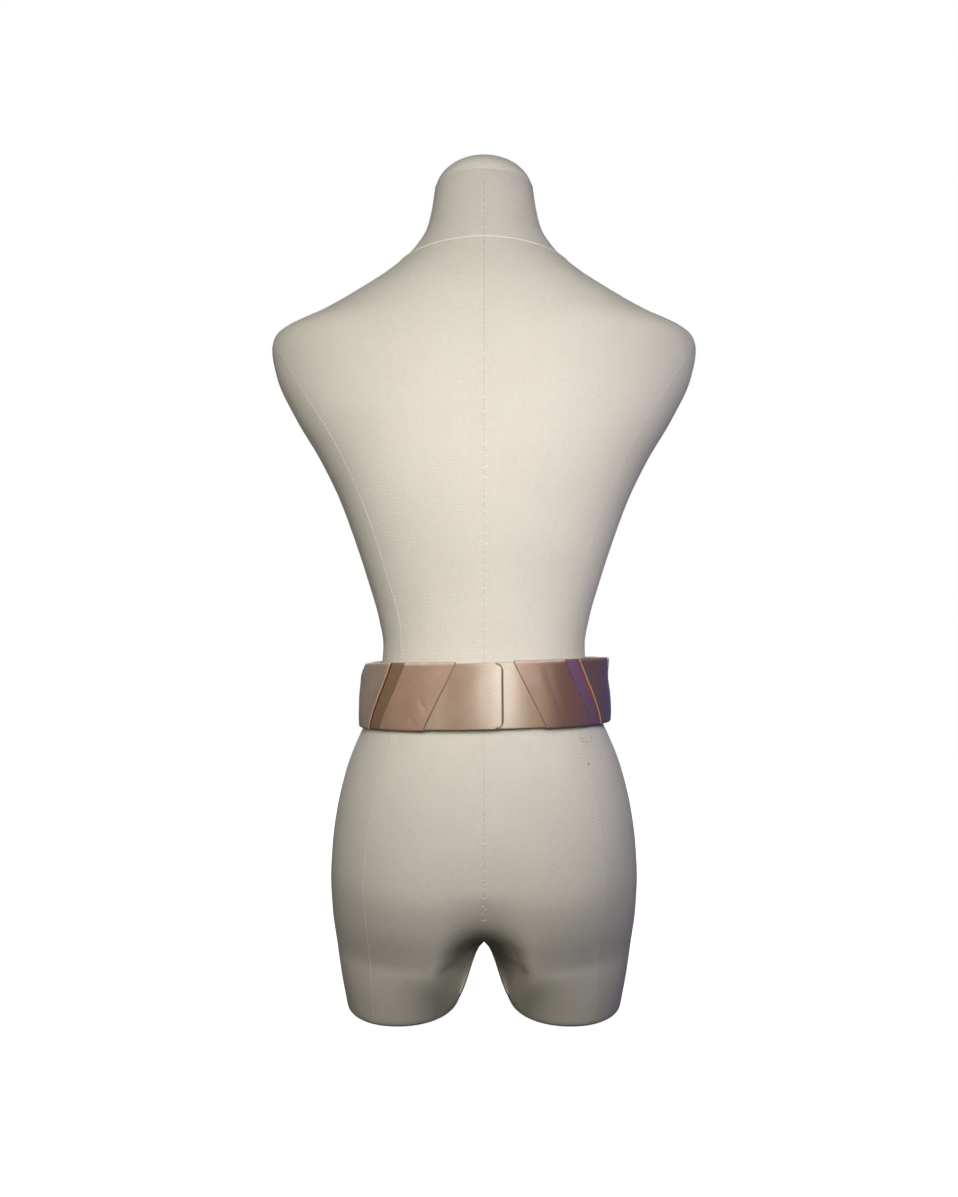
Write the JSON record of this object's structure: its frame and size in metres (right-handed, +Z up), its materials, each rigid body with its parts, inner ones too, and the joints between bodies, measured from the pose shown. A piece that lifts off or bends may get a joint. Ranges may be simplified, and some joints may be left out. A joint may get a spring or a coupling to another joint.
{
  "type": "satin sash on a dress form",
  "caption": "Wide satin sash with slanted wraps, closed by overlapping ends at the centre back, worn on a headless linen dress form that stands on its thigh stubs.",
  "frame": {"origin": "on the surface the form stands on, under the middle of the part", "axes": "+Z up, +Y towards the back of the form, where the sash closes, +X towards the form's own left side"},
  "size_m": [0.4332, 0.2397, 0.8662],
  "materials": {
    "champagne_satin": "smooth champagne satin with a soft bright sheen",
    "blush_satin": "blush satin with a soft sheen",
    "umber_silk": "matte umber silk",
    "plum_silk": "matte plum silk",
    "copper_facing": "copper-coloured facing cloth",
    "rose_satin": "dusky rose satin",
    "linen": "off-white linen, matte, fine plain weave"
  },
  "bodies": {
    "root": {"sash_band": "champagne_satin", "blush_wrap_left": "blush_satin", "blush_wrap_right": "blush_satin", "inset_strip_left": "umber_silk", "inset_strip_right": "plum_silk", "side_facing_left": "copper_facing", "side_facing_right": "copper_facing", "side_wrap_left": "rose_satin", "side_wrap_right": "rose_satin", "front_facing_left": "copper_facing", "front_facing_right": "copper_facing", "front_wrap": "rose_satin", "form_body": "linen", "form_neck_cap": "linen"}
  },
  "joints": []
}
